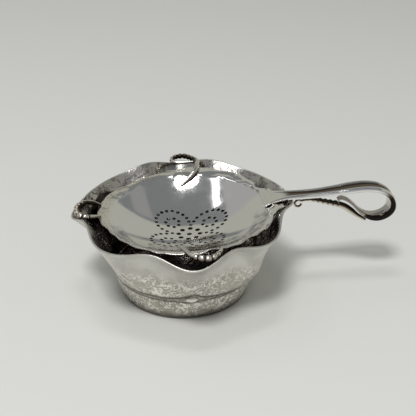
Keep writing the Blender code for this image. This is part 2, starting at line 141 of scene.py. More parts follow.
# Pierced flower
FLOWER_CENTRE = Vector((0.7, -1.0))
FLOWER_TURN = math.radians(33)
PETAL_COUNT = 4
PETAL_CENTRE = 11.4
PETAL_HALF_LENGTH = 7.6
PETAL_HALF_WIDTH = 7.0
PETAL_HOLES = 18  # in a whole ring, which is left open towards the centre
PETAL_OPENING = math.radians(130)
EYE_RADIUS = 3.0
EYE_HOLES = 7
CENTRE_RING_RADIUS = 4.6
CENTRE_RING_HOLES = 8
RAY_RADIUS = 7.3
HOLE_SIDES = 14
SMALL_HOLE = 0.78
LARGE_HOLE = 1.08

# Handle strap: X and Z of the middle line, with width, thickness and rail height there
STRAP_STATIONS = (
    (33.0, 39.6, 13.4, 0.7, 0.0),
    (35.5, 40.5, 12.0, 0.8, 0.0),
    (38.5, 40.9, 10.2, 1.0, 0.1),
    (42.0, 41.2, 8.5, 1.1, 0.2),
    (45.5, 41.2, 7.6, 1.2, 0.4),
    (50.0, 41.2, 7.2, 1.3, 0.5),
    (54.0, 41.3, 7.1, 1.3, 0.6),
    (58.5, 41.6, 7.4, 1.3, 0.6),
    (65.0, 42.3, 8.2, 1.3, 0.6),
    (71.5, 43.2, 9.0, 1.3, 0.6),
    (78.0, 43.6, 9.4, 1.3, 0.6),
    (83.5, 42.8, 9.4, 1.4, 0.6),
    (87.6, 40.6, 9.0, 1.6, 0.6),
    (90.0, 37.2, 8.2, 2.0, 0.6),
    (90.3, 33.6, 7.4, 2.6, 0.5),
    (88.4, 30.9, 6.8, 3.0, 0.4),
    (85.0, 29.4, 6.4, 3.0, 0.3),
    (81.4, 29.5, 6.0, 2.4, 0.1),
    (78.2, 31.0, 5.6, 1.6, 0.0),
    (75.5, 33.3, 5.2, 1.1, 0.0),
    (73.0, 35.9, 4.8, 0.9, 0.0),
    (70.6, 37.8, 4.2, 0.9, 0.0),
    (68.0, 38.8, 3.2, 0.9, 0.0),
    (66.2, 38.2, 2.4, 1.0, 0.0),
)
HAMMERED_ROOT = (38.0, 47.0)  # along X, where the hammered finish fades out
GROOVE_TARNISH = 0.7
# Painted shade darkening the inner face of the coil
COIL_INNER_SHADE = 0.2  # on the inner side of the coil
TAIL_TARNISH = 0.45
TAIL_SHARE = 0.76  # of the strap's stations, where the tail begins
STRAP_STEPS = 9
STRAP_ACROSS = 28
STRAP_OUTLINE = (
    (-1.0, 0.1),
    (-0.9, 0.8),
    (-0.75, 1.0),
    (-0.62, 0.9),
    (-0.48, 0.1),
    (-0.3, -0.35),
    (0.3, -0.35),
    (0.48, 0.1),
    (0.62, 0.9),
    (0.75, 1.0),
    (0.9, 0.8),
    (1.0, 0.1),
)

# Tendril under the handle: X, Y, Z and the radius there
TENDRIL_STEM = (
    (79.4, 0.0, 27.6, 0.6),
    (75.4, 0.0, 30.2, 1.0),
    (72.8, 0.0, 32.3, 1.35),
    (69.8, 0.0, 34.5, 1.4),
    (66.8, 0.0, 35.9, 1.3),
)
TENDRIL_BEAD_WIRE = (
    (66.5, 0.0, 35.9, 1.5),
    (61.2, 0.0, 37.3, 1.3),
    (57.0, 0.0, 38.3, 1.1),
    (53.8, 0.0, 38.8, 0.9),
    (50.7, 0.0, 38.4, 0.6),
)
TENDRIL_BEADS = 7
CURL_CENTRE = (49.2, 37.1)
CURL_RADIUS = 1.65
CURL_WIRE = 0.5
CURL_START = math.radians(40)
CURL_SWEEP = math.radians(310)
CURL_TIGHTENING = 0.2
CURL_STEPS = 48

# Rim loops: X, Y, Z and the radius there
LOOPS = {
    "left": {
        "stem": (
            (-34.9, 9.6, 36.3, 0.7),
            (-38.2, 9.9, 37.7, 0.9),
            (-40.9, 8.6, 38.7, 0.95),
            (-41.8, 7.9, 38.9, 0.9),
        ),
        "bead_wire": (
            (-41.6, 8.0, 38.9, 1.3),
            (-44.5, 4.5, 39.0, 1.45),
            (-45.4, 1.2, 39.0, 1.45),
            (-45.2, -2.4, 39.0, 1.45),
            (-43.3, -5.4, 39.0, 1.35),
            (-40.1, -4.9, 38.3, 1.0),
            (-35.6, 0.1, 36.1, 0.5),
        ),
        "beads": 7,
        "bead_share": 0.7,
        "middle": (-41.0, 1.5),
    },
    "front": {
        "stem": (
            (-5.3, -37.1, 38.6, 0.7),
            (-4.0, -39.6, 38.6, 0.95),
            (-2.6, -42.6, 38.4, 1.1),
            (-1.7, -43.7, 38.4, 1.1),
        ),
        "bead_wire": (
            (-1.9, -43.5, 38.4, 1.3),
            (0.4, -45.3, 38.4, 1.4),
            (3.0, -46.3, 38.4, 1.45),
            (5.9, -45.6, 38.4, 1.4),
            (8.5, -42.5, 38.3, 1.25),
            (9.9, -39.2, 38.2, 0.8),
            (9.9, -37.4, 38.2, 0.6),
        ),
        "beads": 5,
        "bead_share": 0.72,
        "middle": (3.0, -41.0),
    },
    "back": {
        "stem": (
            (1.9, 28.0, 35.3, 0.5),
            (4.3, 29.5, 36.9, 0.75),
            (6.8, 30.8, 38.8, 0.95),
            (8.7, 32.9, 40.1, 1.1),
            (9.9, 36.9, 40.6, 1.2),
            (10.6, 42.0, 40.3, 1.2),
            (10.3, 45.7, 39.8, 1.15),
            (9.7, 47.0, 39.6, 1.0),
        ),
        "bead_wire": (
            (9.7, 47.2, 39.6, 1.2),
            (5.7, 51.2, 39.4, 1.3),
            (1.5, 50.4, 39.4, 1.2),
            (-0.3, 47.5, 39.4, 1.1),
            (0.6, 44.6, 39.4, 0.9),
            (4.8, 43.6, 39.5, 0.8),
            (9.4, 43.2, 39.9, 0.5),
        ),
        "beads": 7,
        "bead_share": 0.58,
        "middle": (5.0, 47.3),
    },
}
WIRE_SIDES = 20
STEM_STEPS = 12
RINGS_PER_BEAD = 12
PLAIN_RINGS = 24
BEAD_NECK = 0.5
PATH_STEPS = 24

# Camera
CAMERA_AZIMUTH = math.radians(-6.75)
CAMERA_ELEVATION = math.radians(28.28)
CAMERA_DISTANCE = 0.45
CAMERA_TARGET = Vector((0.0, 0.0, 0.02))
CAMERA_LENS = 90.1
CAMERA_SHIFT = (0.0566, 0.0886)

# Lights, in watts, and the upright pale backdrop behind the object
KEY_POWER = 14.8
TOP_POWER = 1.1
SIDE_POWER = 0.5
SIDE_WALLS = {-1.6: 0.8, 1.6: 2.0}  # X of each pale side wall and its height
BACKDROP = (
    (-3.0, 1.6, 0.0),
    (3.0, 1.6, 0.0),
    (3.0, 1.6, 1.66),
    (0.6, 1.6, 1.66),
    (-0.1, 1.6, 1.56),
    (-0.5, 1.6, 1.04),
    (-0.62, 1.6, 1.16),
    (-3.0, 1.6, 1.16),
)


# ---------------------------------------------------------------- mesh helpers


def make_piece(name, points, faces, material, body, nodes=(), tarnish_and_shade=None, normals=None):
    """A smooth piece from points in millimetres, riding on a body for the CAD nodes given."""
    mesh = bpy.data.meshes.new(name)
    mesh.from_pydata([Vector(point) * MM for point in points], [], faces)
    mesh.shade_smooth()
    if normals is not None:
        mesh.normals_split_custom_set(normals(mesh))
    mesh.materials.append(material)
    piece = bpy.data.objects.new(name, mesh)
    # The tarnish layer holds real patina and painted shade alike, both darkening the colour
    if tarnish_and_shade is not None:
        add_layer(piece, "tarnish_and_shade", tarnish_and_shade)
    bpy.context.scene.collection.objects.link(piece)
    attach(piece, body)
    if nodes:
        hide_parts(*nodes)
    return piece


def add_layer(piece, name, values):
    """One value for each point, for the materials to read."""
    layer = piece.data.attributes.new(name, "FLOAT", "POINT")
    layer.data.foreach_set("value", [max(value, 0.0) for value in values])


def skin(rings):
    """Points and faces of a surface through closed rings. A ring of one point is a pole."""
    points = [point for ring in rings for point in ring]
    faces = []
    start = 0
    for ring, following in zip(rings, rings[1:]):
        following_start = start + len(ring)
        sides = max(len(ring), len(following))
        for side in range(sides):
            corners = [
                start + side % len(ring),
                start + (side + 1) % len(ring),
                following_start + (side + 1) % len(following),
                following_start + side % len(following),
            ]
            faces.append(list(dict.fromkeys(corners)))
        start = following_start
    return points, faces


def smooth_stations(stations, steps):
    """Stations on a Catmull-Rom curve through the given ones, with steps in each span."""
    stations = [Vector(station) for station in stations]
    before = 2 * stations[0] - stations[1]
    after = 2 * stations[-1] - stations[-2]
    padded = [before, *stations, after]
    result = []
    for a, b, c, d in zip(padded, padded[1:], padded[2:], padded[3:]):
        for step in range(steps):
            t = step / steps
            slope = (c - a) + t * (2 * a - 5 * b + 4 * c - d) + t * t * (3 * b - a - 3 * c + d)
            result.append(b + slope * t / 2)
    result.append(stations[-1])
    return result


def circle_angles(count):
    return [FULL_TURN * index / count for index in range(count)]


def smoothstep(low, high, value):
    t = min(max((value - low) / (high - low), 0.0), 1.0)
    return t * t * (3 - 2 * t)


def bell(value, width):
    return math.exp(-((value / width) ** 2))


def turn_bell(angle, width):
    return bell(math.remainder(angle, FULL_TURN), width)


def dimples(point, size):
    """Depth of hammer marks of one size, 0 in the middle of a mark and up to 1 between."""
    near = noise.voronoi(Vector(point) / size)[0][0]
    return min(near * near * 1.6, 1.0)


# ------------------------------------------------------------------- drip bowl


def lip_phase(angle):
    return angle - LIP_TURN - LIP_WANDER * math.cos(angle - LIP_WANDER_ANGLE)


def lip_angle(index):
    quarter = FULL_TURN * index / LIP_COUNT
    return quarter - lip_phase(quarter) + quarter


def rim_point(angle):
    radius = RIM_RADIUS + OVAL_REACH * math.cos(2 * (angle - OVAL_ANGLE))
    height = RIM_HEIGHT + RIM_TILT * math.cos(angle) + RIM_SADDLE * math.sin(2 * angle)
    for count, outward, upward in RIM_WAVES:
        wave = math.cos(count * lip_phase(angle))
        radius += outward * wave
        height += upward * wave
    radius -= HANDLE_LIP_DRAW * turn_bell(angle - HANDLE_LIP_DRAW_ANGLE, HANDLE_LIP_WIDTH)
    height += HANDLE_LIP_RISE * turn_bell(angle, HANDLE_LIP_WIDTH)
    return radius, height


def wall_profile(angle, share):
    """Radius and height of the wall's outer face, from the seam (0) up to the rim (1)."""
    rim_radius, rim_height = rim_point(angle)
    nearness = (1 + math.cos(LIP_COUNT * lip_phase(angle))) / 2
    belly_radius = BELLY_RADIUS - CREASE_DEPTH * nearness**CREASE_SHARPNESS
    rest = 1 - share
    weights = (rest**3, 3 * rest**2 * share, 3 * rest * share**2, share**3)
    reach = FLARE_REACH + LIP_FLARE_REACH * nearness
    rise = FLARE_RISE - LIP_FLARE_DROP * nearness
    oval = cup_oval(angle)
    radii = (SEAM_RADIUS + oval, belly_radius + oval, rim_radius - reach, rim_radius)
    heights = (SEAM_HEIGHT, BELLY_HEIGHT, rim_height - rise, rim_height)
    radius = sum(weight * value for weight, value in zip(weights, radii))
    height = sum(weight * value for weight, value in zip(weights, heights))
    return radius, height


def cup_oval(angle):
    return CUP_OVAL * math.cos(2 * (angle - OVAL_ANGLE))


def profile_point(angle, radius, height, share):
    rest = 1 - share
    weights = (rest**3, 3 * rest**2 * share, 3 * rest * share**2, share**3)
    shift = sum(weight * value for weight, value in zip(weights, WALL_SHIFTS))
    return Vector((radius * math.cos(angle) + shift, radius * math.sin(angle), height))


def drop_distance(angle):
    """Arc length along the seam to the nearest drop."""
    lips = DROP_LIPS.values()
    gaps = [abs(math.remainder(angle - lip_angle(lip), FULL_TURN)) for lip in lips]
    return SEAM_RADIUS * min(gaps)


def ridge_lift(angle):
    return RIDGE_LIFT * math.exp(-drop_distance(angle) / RIDGE_LIFT_WIDTH)


def painted_crease_shade(angle, height):
    """How dark the outside of the bowl is painted: painted shade in the two creases of the ridge, on the
    band between them and round a drop.
    """
    lower, upper = RIDGE_CREASES
    lift = ridge_lift(angle)
    dark = 0.9 * bell(height - upper - lift, 0.65)
    dark = max(dark, 0.9 * bell(height - lower + lift * 0.4, 0.45))
    between = smoothstep(lower, lower + 0.4, height) * (1 - smoothstep(upper, upper + lift + 0.3, height))
    return max(dark, 0.5 * between)


def painted_lip_shade(angle):
    """How much darker the bright band inside the rim is painted in the left, front and handle lips, as
    painted shade and dark reflection.
    """
    return max(depth * turn_bell(angle - lip_angle(lip), width) for lip, depth, width in DARK_LIPS)


def wall_section(angle):
    """Points and darkness, from patina and painted shade, up the outside of the wall, over its rim and
    down the inside.
    """
    profile = [wall_profile(angle, ring / WALL_RINGS) for ring in range(WALL_RINGS + 1)]
    outer = []
    inner = []
    directions = []
    for ring, (radius, height) in enumerate(profile):
        ahead = profile[min(ring + 1, WALL_RINGS)]
        behind = profile[max(ring - 1, 0)]
        along = Vector((ahead[0] - behind[0], ahead[1] - behind[1])).normalized()
        directions.append(Vector((along.y, -along.x)))
    lift = ridge_lift(angle)
    for ring, (radius, height) in enumerate(profile):
        share = ring / WALL_RINGS
        outward = directions[ring]
        place = profile_point(angle, radius, height, share)
        marks = smoothstep(RIDGE_CREASES[1] + 0.5, RIDGE_CREASES[1] + 3, height)
        marks *= 1 - smoothstep(0.8, 0.95, share)
        push = 0.11 * marks * (dimples(place, 3.4) - 0.5)
        push += RIDGE_PROUD * bell(height - RIDGE_HEIGHT, RIDGE_HALF_WIDTH + lift / 3)
        spot = Vector((radius, height)) + outward * push
        outer.append((profile_point(angle, spot.x, spot.y, share), painted_crease_shade(angle, height)))
        push = 0.45 * (dimples(place + Vector((50, 0, 0)), 6.2) - 0.5) * (1 - share**8)
        push += 0.3 * bell(share - BAND_SHARE, 0.02)
        spot = Vector((radius, height)) - outward * (WALL_THICKNESS + push)
        dark = 1 - smoothstep(0.99, 1.0, share)
        narrowed = turn_bell(angle - NARROW_BAND_ANGLE, NARROW_BAND_WIDTH)
        start = BAND_SHARE + BAND_NARROWING * narrowed
        clean = smoothstep(start - 0.03, start + 0.03, share)
        dark *= 1 - clean * (0.75 - painted_lip_shade(angle))
        # painted black shadow below the narrowed band, and oxide with painted shade deep down
        dark += narrowed * (1 - clean) + DEEP_TARNISH_AND_SHADE * (1 - smoothstep(*DEEP_SHARES, share))
        inner.append((profile_point(angle, spot.x, spot.y, share), dark))
    middle = Vector(profile[-1]) - directions[-1] * WALL_THICKNESS / 2
    edge = []
    along = Vector((-directions[-1].y, directions[-1].x))
    for step in range(1, EDGE_STEPS):
        turn = math.pi * step / EDGE_STEPS
        spot = middle + (math.cos(turn) * directions[-1] + math.sin(turn) * along) * (
            WALL_THICKNESS / 2
        )
        edge.append((profile_point(angle, spot.x, spot.y, 1), 0.0))
    return outer + edge + list(reversed(inner))


def add_bowl_wall(material, inside):
    sections = [wall_section(angle) for angle in circle_angles(WALL_SEGMENTS)]
    count = len(sections[0])
    rings = [[section[level][0] for section in sections] for level in range(count)]
    tarnish_and_shade = [section[level][1] for level in range(count) for section in sections]
    rings.append(rings[0])
    points, faces = skin(rings)
    points = points[: count * WALL_SEGMENTS]
    faces = [[corner % len(points) for corner in face] for face in faces]
    piece = make_piece(
        "lobed_bowl_wall",
        points,
        faces,
        material,
        "drip_bowl",
        ("lobed_wall",),
        tarnish_and_shade,
    )
    piece.data.materials.append(inside)
    first_inner = WALL_RINGS + EDGE_STEPS
    for face in piece.data.polygons:
        if face.index // WALL_SEGMENTS >= first_inner:
            face.material_index = 1
    return piece


def add_cup(material, inside):
    profile = smooth_stations([(r, h, 0) for r, h in CUP_PROFILE], CUP_STEPS)
    outer = [Vector((max(spot.x, 0.0), max(spot.y, 0.0))) for spot in profile]
    inner = []
    for index, spot in enumerate(outer):
        ahead = outer[min(index + 1, len(outer) - 1)]
        behind = outer[max(index - 1, 0)]
        along = (ahead - behind).normalized()
        inner.append(spot + Vector((-along.y, along.x)) * WALL_THICKNESS)
    angles = circle_angles(WALL_SEGMENTS)
    rings = [[(0, 0, 0)]]
    tarnish_and_shade = [0.8]
    for spot in outer[1:]:
        ring = []
        for angle in angles:
            place = Vector((spot.x * math.cos(angle), spot.x * math.sin(angle), spot.y))
            marks = smoothstep(1.2, 4, spot.y) * (1 - smoothstep(8.5, 10.5, spot.y))
            push = 0.1 * marks * (dimples(place, 3.2) - 0.5)
            lift = ridge_lift(angle)
            push += 0.3 * bell(spot.y - RIDGE_HEIGHT, RIDGE_HALF_WIDTH)
            radius = spot.x + push + cup_oval(angle) * spot.x / SEAM_RADIUS
            ring.append((radius * math.cos(angle), radius * math.sin(angle), spot.y))
            # painted shade in the ridge's lower crease, and painted contact shade darkening the foot
            # towards the floor
            dark = 0.9 * bell(spot.y - RIDGE_CREASES[0] + lift * 0.4, 0.45)
            dark = max(dark, 0.95 * (1 - smoothstep(0.5, 6.0, spot.y)))
            tarnish_and_shade.append(dark)
        rings.append(ring)
    for spot in reversed(inner[1:]):
        ring = []
        for angle in angles:
            radius = spot.x * (1 + cup_oval(angle) / SEAM_RADIUS)
            ring.append((radius * math.cos(angle), radius * math.sin(angle), spot.y))
        rings.append(ring)
        tarnish_and_shade += [1 + DEEP_TARNISH_AND_SHADE] * len(angles)
    rings.append([(0, 0, WALL_THICKNESS)])
    tarnish_and_shade.append(1 + DEEP_TARNISH_AND_SHADE)
    points, faces = skin(rings)
    faces = [list(reversed(face)) for face in faces]
    piece = make_piece(
        "base_cup_shell",
        points,
        faces,
        material,
        "drip_bowl",
        ("base_cup",),
        tarnish_and_shade,
    )
    piece.data.materials.append(inside)
    inside_from = (len(outer) - 1) * WALL_SEGMENTS
    for face in piece.data.polygons:
        if face.index >= inside_from:
            face.material_index = 1


def add_drops(material):
    length, width, height = DROP_HALF_SIZE
    for side, lip in DROP_LIPS.items():
        angle = lip_angle(lip)
        turn = Matrix.Rotation(angle, 3, "Z")
        centre = DROP_RADIUS * Vector((math.cos(angle), math.sin(angle), 0))
        centre.z = DROP_HEIGHT
        rings = []
        tarnish_and_shade = []
        for level in range(DROP_LEVELS + 1):
            tilt = math.pi * level / DROP_LEVELS
            reach = math.sin(tilt)
            sides = DROP_SIDES if 0 < level < DROP_LEVELS else 1
            ring = []
            for around in circle_angles(sides):
                outward = width * reach * math.cos(around)
                along = length * reach * math.sin(around)
                ring.append(centre + turn @ Vector((outward, along, -height * math.cos(tilt))))
                # painted shade on the side of each drop that faces the wall
                facing = reach * math.cos(around)
                tarnish_and_shade.append(0.8 * (1 - smoothstep(-0.1, 0.3, facing)))
            rings.append(ring)
        points, faces = skin(rings)
        name = f"{side}_drop"
        node = f"{side}_seam_drop"
        make_piece(name, points, faces, material, "drip_bowl", (node,), tarnish_and_shade)


# --------------------------------------------------------------- strainer dish

BASIN_TABLE_STEP = 0.05


def basin_table():
    """Heights of the dish's upper face at even radii, from a slope that eases into the flange."""
    flange_slope = FLANGE_RISE / (DISH_RADIUS - BASIN_RADIUS)
    heights = [-BASIN_DEPTH]
    count = int(45 / BASIN_TABLE_STEP)
    for index in range(count):
        radius = (index + 0.5) * BASIN_TABLE_STEP
        blend = smoothstep(BASIN_RADIUS - 1.6, BASIN_RADIUS + 1.6, radius)
        slope = 2 * BASIN_DEPTH * radius / BASIN_RADIUS**2
        slope += (flange_slope - slope) * blend
        heights.append(heights[-1] + slope * BASIN_TABLE_STEP)
    return heights


BASIN_HEIGHTS = basin_table()


def frontness(x, y):
    return smoothstep(-0.2, 0.9, -y / max(math.hypot(x, y), PLAN_TOLERANCE))


def basin_radius(x, y):
    """Distance from the dish's centre, as if the basin were as wide at the front as elsewhere."""
    return math.hypot(x, y) / (1 + FRONT_WIDENING * frontness(x, y))


def dish_height(x, y):
    radius = math.hypot(x, y)
    evened = basin_radius(x, y)
    place = min(evened, DISH_RADIUS) / BASIN_TABLE_STEP
    index = min(int(place), len(BASIN_HEIGHTS) - 2)
    part = place - index
    height = BASIN_HEIGHTS[index] * (1 - part) + BASIN_HEIGHTS[index + 1] * part
    height += DISH_TILT[0] * x + DISH_TILT[1] * y - TONGUE_DIP * max(radius - DISH_RADIUS, 0)
    height += 0.07 * noise.noise(Vector((x / 11, y / 11, 3.0)))
    inner = BASIN_RADIUS - 1 - 6 * frontness(x, y)
    marks = smoothstep(inner, BASIN_RADIUS + 0.5, evened)
    if marks > 0:
        around = Vector((x, y)) / radius * FLANGE_STREAKS
        streaks = noise.noise(Vector((radius / FLANGE_RIPPLE, around.x, around.y)))
        height += marks * FLANGE_STREAK_DEPTH * streaks
        height += 0.34 * marks * (dimples(Vector((x, y, 7)), 5.0) - 0.5)
    return height


def dish_normal(x, y):
    step = 0.12
    slope_x = (dish_height(x + step, y) - dish_height(x - step, y)) / (2 * step)
    slope_y = (dish_height(x, y + step) - dish_height(x, y - step)) / (2 * step)
    return Vector((-slope_x, -slope_y, 1)).normalized()


def hole_centres():
    holes = []

    def ring(count, radius, centre, hole_radius, turn, stretch=1.0, opening=FULL_TURN):
        for angle in circle_angles(count):
            if abs(math.remainder(angle, FULL_TURN)) > opening:
                continue
            local = Vector((radius * stretch * math.cos(angle), radius * math.sin(angle)))
            local.rotate(Matrix.Rotation(turn, 2))
            holes.append((FLOWER_CENTRE + centre + local, hole_radius))

    for index in range(PETAL_COUNT):
        turn = FLOWER_TURN + FULL_TURN * index / PETAL_COUNT
        outward = Vector((math.cos(turn), math.sin(turn)))
        centre = PETAL_CENTRE * outward
        stretch = PETAL_HALF_LENGTH / PETAL_HALF_WIDTH
        ring(PETAL_HOLES, PETAL_HALF_WIDTH, centre, SMALL_HOLE, turn, stretch, PETAL_OPENING)
        ring(EYE_HOLES, EYE_RADIUS, centre, SMALL_HOLE, turn)
        between = turn + FULL_TURN / PETAL_COUNT / 2
        along = Vector((math.cos(between), math.sin(between)))
        holes.append((FLOWER_CENTRE + RAY_RADIUS * along, SMALL_HOLE))
    ring(CENTRE_RING_HOLES, CENTRE_RING_RADIUS, Vector((0, 0)), LARGE_HOLE, FLOWER_TURN)
    holes.append((FLOWER_CENTRE, LARGE_HOLE))
    return holes


def edge_radius(angle):
    radius = DISH_RADIUS + EDGE_SCALLOP_DEPTH * math.sin(EDGE_SCALLOPS * angle)
    radius += 0.18 * noise.noise(Vector((9 * math.cos(angle), 9 * math.sin(angle), 0)))
    for count, outward, degrees in DISH_WAVES:
        radius += outward * math.cos(count * (angle - math.radians(degrees)))
    for side in (-1, 1):
        radius -= NOTCH_DEPTH * turn_bell(angle - side * NOTCH_ANGLE, NOTCH_WIDTH)
    radius -= FRONT_NOTCH_DEPTH * turn_bell(angle - FRONT_NOTCH_ANGLE, FRONT_NOTCH_WIDTH)
    turn = math.remainder(angle, FULL_TURN) / TONGUE_WIDTH
    return radius + TONGUE_REACH * math.exp(-(turn**4))


def pierced_plan():
    """Plan points and faces: a pierced disc joined to rings that run out to the edge."""
    holes = hole_centres()
    border = [PIERCED_RADIUS * Vector((math.cos(a), math.sin(a))) for a in circle_angles(DISH_SEGMENTS)]
    points = list(border)
    loops = [list(range(DISH_SEGMENTS))]
    for centre, radius in holes:
        start = len(points)
        points += [
            centre + radius * Vector((math.cos(a), math.sin(a))) for a in circle_angles(HOLE_SIDES)
        ]
        loops.append(list(range(start, start + HOLE_SIDES)))
    reach = int(PIERCED_RADIUS / PLAN_STEP) + 1
    for column in range(-reach, reach + 1):
        for row in range(-reach, reach + 1):
            spot = PLAN_STEP * Vector((column + 0.5 * (row % 2), row * 0.866))
            clear = all((spot - centre).length > radius + 0.5 for centre, radius in holes)
            if clear and spot.length < PIERCED_RADIUS - 0.9:
                points.append(spot)
    plan = delaunay_2d_cdt(points, [], loops, 0, PLAN_TOLERANCE, True)
    points, _, triangles, originals, _, owners = plan
    solid = [list(tri) for tri, owner in zip(triangles, owners) if list(owner) == [0]]
    place_of = {}
    for index, sources in enumerate(originals):
        for source in sources:
            place_of[source] = index
    inner = [place_of[index] for index in range(DISH_SEGMENTS)]
    points = list(points)
    for ring in range(1, DISH_RINGS + 1):
        share = ring / DISH_RINGS
        outer = []
        for angle in circle_angles(DISH_SEGMENTS):
            radius = PIERCED_RADIUS + (edge_radius(angle) - PIERCED_RADIUS) * share
            outer.append(len(points))
            points.append(radius * Vector((math.cos(angle), math.sin(angle))))
        for side in range(DISH_SEGMENTS):
            after = (side + 1) % DISH_SEGMENTS
            solid.append([inner[side], outer[side], outer[after], inner[after]])
        inner = outer
    return points, solid, inner


def roughened(spot):
    """How rough and creamy the dish's finish is: only on the flange, most on one side."""
    on_flange = smoothstep(BASIN_RADIUS - 1, BASIN_RADIUS + 2, basin_radius(spot.x, spot.y))
    turn = math.atan2(spot.y, spot.x) - ROUGH_SIDE
    return on_flange * (0.2 + 0.8 * smoothstep(-0.1, 0.75, math.cos(turn)))


def painted_grey_reflection(spot):
    """How much of the front of the flange has painted grey reflection streaks."""
    radius = basin_radius(spot.x, spot.y)
    amount = smoothstep(BASIN_RADIUS - 7, BASIN_RADIUS - 5, radius)
    amount *= 1 - smoothstep(BASIN_RADIUS - 0.5, BASIN_RADIUS + 1, radius)
    return amount * smoothstep(0.15, 0.6, frontness(spot.x, spot.y))


def add_dish(material, inside):
    plan, solid, rim = pierced_plan()
    count = len(plan)
    normals = [dish_normal(x, y) for x, y in plan]
    top = [DISH_CENTRE + Vector((x, y, dish_height(x, y))) for x, y in plan]
    bottom = [point - normal * DISH_SHEET for point, normal in zip(top, normals)]
    points = top + bottom
    faces = list(solid)
    faces += [[corner + count for corner in reversed(face)] for face in solid]
    directed = {(face[i], face[(i + 1) % len(face)]) for face in solid for i in range(len(face))}
    on_rim = set(rim)
    walls = []
    for start, end in sorted(directed):
        if (end, start) not in directed and not (start in on_rim and end in on_rim):
            walls.append([end, start, start + count, end + count])
    faces += walls
    edge_rings = []
    for step in range(1, EDGE_STEPS):
        turn = math.pi * step / EDGE_STEPS
        ring = []
        for index in rim:
            outward = Vector((*plan[index].normalized(), 0))
            middle = (top[index] + bottom[index]) / 2
            across = normals[index] * math.cos(turn) + outward * math.sin(turn)
            ring.append(len(points))
            points.append(middle + across * DISH_SHEET / 2)
        edge_rings.append(ring)
    rings = [rim, *edge_rings, [index + count for index in rim]]
    edge_normals = {}
    for step, ring in enumerate(rings):
        turn = math.pi * step / EDGE_STEPS
        for index, source in zip(ring, rim):
            outward = Vector((*plan[source].normalized(), 0))
            edge_normals[index] = normals[source] * math.cos(turn) + outward * math.sin(turn)
    first_edge_face = len(faces)
    for ring, following in zip(rings, rings[1:]):
        for side in range(len(rim)):
            after = (side + 1) % len(rim)
            faces.append([ring[side], following[side], following[after], ring[after]])
    first_wall_face = 2 * len(solid)

    def split_normals(mesh):
        result = []
        for face in mesh.polygons:
            for corner in face.vertices:
                if face.index >= first_edge_face:
                    result.append(edge_normals[corner])
                elif face.index >= first_wall_face:
                    result.append(face.normal.copy())
                elif face.index >= len(solid):
                    result.append(-normals[corner - count])
                else:
                    result.append(normals[corner])
        return result

    tarnish_and_shade = []
    flange = [roughened(spot) for spot in plan]
    tarnish_and_shade += [0.0] * count
    # the underside, and with it the walls of the holes, is darker than the top
    tarnish_and_shade += [0.75] * count
    tarnish_and_shade += [0.0] * (len(points) - 2 * count)
    piece = make_piece(
        "pierced_dish",
        points,
        faces,
        material,
        "strainer",
        ("strainer_dish",),
        tarnish_and_shade,
        split_normals,
    )
    add_layer(piece, "hammered", flange + flange + [1.0] * (len(points) - 2 * count))
    greyed = [painted_grey_reflection(spot) for spot in plan]
    add_layer(piece, "painted_grey_reflection", greyed + [0.0] * (len(points) - count))
    piece.data.materials.append(inside)
    for face in piece.data.polygons:
        if first_wall_face <= face.index < first_edge_face:
            face.material_index = 1
    return piece


# --------------------------------------------------------------- handle strap


def outline_height(share):
    """How much of the rail height the strap's outer face has, across its width."""
    for (low, low_rise), (high, high_rise) in zip(STRAP_OUTLINE, STRAP_OUTLINE[1:]):
        if share <= high:
            return low_rise + (high_rise - low_rise) * smoothstep(low, high, share)
    return STRAP_OUTLINE[-1][1]


def strap_ring(station, direction):
    x, z, width, thickness, rail = station
    outward = Vector((-direction.z, 0, direction.x))
    centre = Vector((x, 0, z))
    half_edge = thickness / 2
    flat = width / 2 - half_edge * 0.6
    ring = []
    tarnish_and_shade = []
    for index in range(STRAP_ACROSS + 1):
        share = 2 * index / STRAP_ACROSS - 1
        height = thickness / 2 + rail * outline_height(share)
        ring.append(centre + Vector((0, share * flat, 0)) + outward * height)
        groove = (1 - smoothstep(0.42, 0.62, abs(share))) * smoothstep(0.15, 0.45, rail)
        tarnish_and_shade.append(GROOVE_TARNISH * groove)
    edge_top = thickness / 2 + rail * outline_height(1)
    # the thick side faces of the coil are painted dark, as a dark reflection
    painted_dark_side = smoothstep(1.35, 1.8, thickness)
    for side in (1, -1):
        turns = range(1, 6) if side == 1 else range(5, 0, -1)
        for turn in turns:
            tilt = math.pi * turn / 6
            sideways = flat + half_edge * 0.6 * math.sin(tilt)
            height = (edge_top - half_edge) / 2 + (edge_top + half_edge) / 2 * math.cos(tilt)
            ring.append(centre + Vector((0, side * sideways, 0)) + outward * height)
            tarnish_and_shade.append(painted_dark_side)
        if side == 1:
            for index in range(11):
                share = 1 - 2 * index / 10
                crown = 0.12 * thickness * (1 - share * share)
                offset = outward * (-thickness / 2 - crown)
                ring.append(centre + Vector((0, share * flat, 0)) + offset)
                tarnish_and_shade.append(0.1 + COIL_INNER_SHADE * painted_dark_side)
    return ring, tarnish_and_shade


